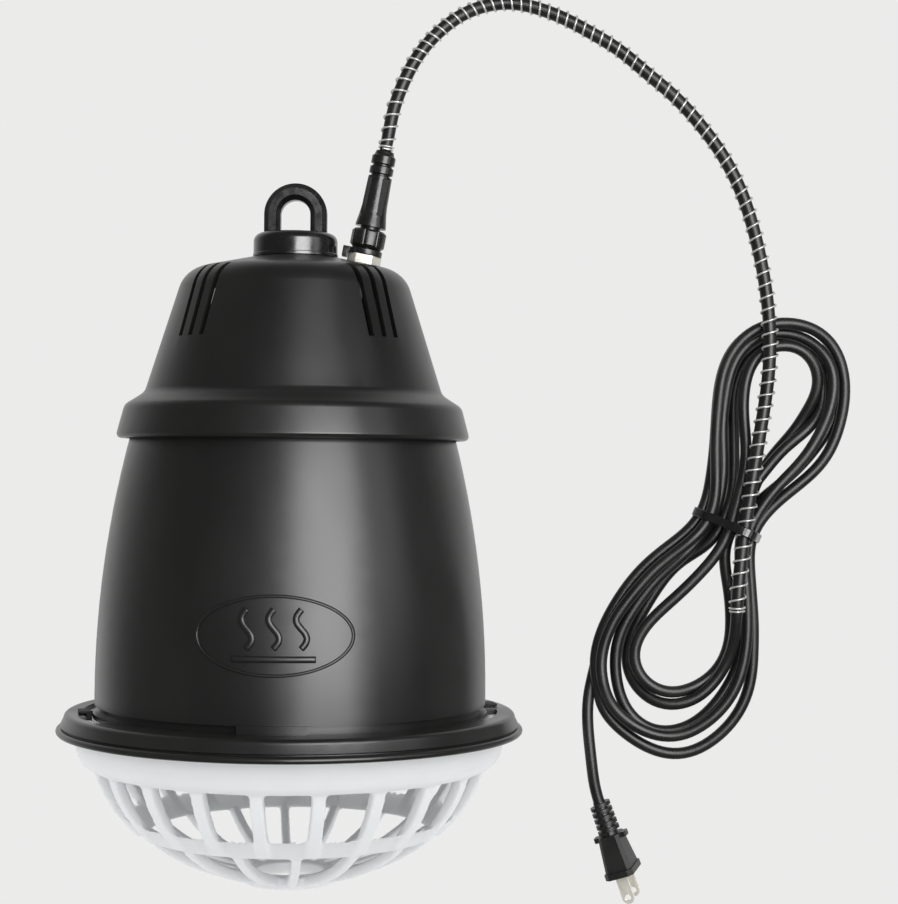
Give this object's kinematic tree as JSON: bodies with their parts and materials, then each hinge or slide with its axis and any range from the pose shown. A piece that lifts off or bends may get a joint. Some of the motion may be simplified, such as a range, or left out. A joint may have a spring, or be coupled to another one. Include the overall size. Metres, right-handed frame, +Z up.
{
  "type": "heat_lamp_fixture",
  "caption": "Hanging heat lamp with a moulded shade, reflector bulb, twist-off guard and an armoured mains lead bundled in a tied hank",
  "frame": {"origin": "top of the opening in the hanging eye, where it rests on a hook", "axes": "+Z up along the lamp's axis, -Y is the front with the oval badge, +X is the side where the lead leaves the cap"},
  "size_m": [0.4132, 0.2404, 0.4738],
  "materials": {
    "body_black": "satin",
    "gloss_black": "gloss",
    "guard_white": "satin",
    "steel": "satin",
    "nickel": "satin",
    "brass": "satin",
    "porcelain": "gloss",
    "shield_aluminium": "satin",
    "lead_red": "matte",
    "cord_black": "gloss",
    "tie_grey": "satin",
    "bulb_glass": "gloss"
  },
  "bodies": {
    "hanger": {"hanger_eye": "gloss_black", "hanger_bolt": "steel", "hanger_washer": "steel", "hanger_nut": "steel"},
    "housing": {"cap": "body_black", "barrel": "body_black", "badge": "body_black", "cap_screws": "steel", "heat_shield": "shield_aluminium", "shield_screws": "steel", "socket_bracket": "steel", "bracket_screws": "steel", "lampholder_body": "porcelain", "lampholder_screws": "steel", "lampholder_shell": "brass", "centre_contact": "brass", "terminal_screws": "brass", "internal_leads": "lead_red", "inlet": "body_black", "contact_pins": "brass", "inlet_nut": "nickel", "lock_tab": "gloss_black", "connector_sleeve": "gloss_black", "cord_armoured": "cord_black", "armour_spring": "steel", "cord_hank": "cord_black", "cord_tail": "cord_black", "cord_tie": "tie_grey", "plug_body": "cord_black", "plug_blades": "nickel"},
    "coupling": {"coupling_nut": "gloss_black"},
    "guard": {"guard": "guard_white", "guard_hooks": "gloss_black"},
    "bulb_travel": {"bulb_tip": "steel"},
    "bulb": {"bulb_glass": "bulb_glass", "bulb_cap": "brass", "bulb_insulator": "gloss_black"}
  },
  "joints": [
    {"name": "hanger_swivel", "type": "hinge", "parent": "hanger", "child": "housing", "pos_m": [0, 0, 0], "axis": [0, 0, 1], "continuous": true},
    {"name": "guard_twist", "type": "hinge", "parent": "housing", "child": "guard", "pos_m": [0, 0, -0.2755], "axis": [0, 0, 1], "range_deg": [0, 16]},
    {"name": "bulb_drop", "type": "slide", "parent": "housing", "child": "bulb_travel", "axis": [0, 0, -1], "range_m": [0, 0.022]},
    {"name": "bulb_turn", "type": "hinge", "parent": "bulb_travel", "child": "bulb", "pos_m": [0, 0, -0.1755], "axis": [0, 0, -1], "range_deg": [0, 2160]},
    {"name": "coupling_spin", "type": "hinge", "parent": "housing", "child": "coupling", "pos_m": [0.0352, 0, -0.03315], "axis": [0.1822, 0, 0.9833], "continuous": true}
  ],
  "couplings": [
    {"joint": "bulb_drop", "follows": "bulb_turn", "m_per_rad": 0.000578}
  ]
}
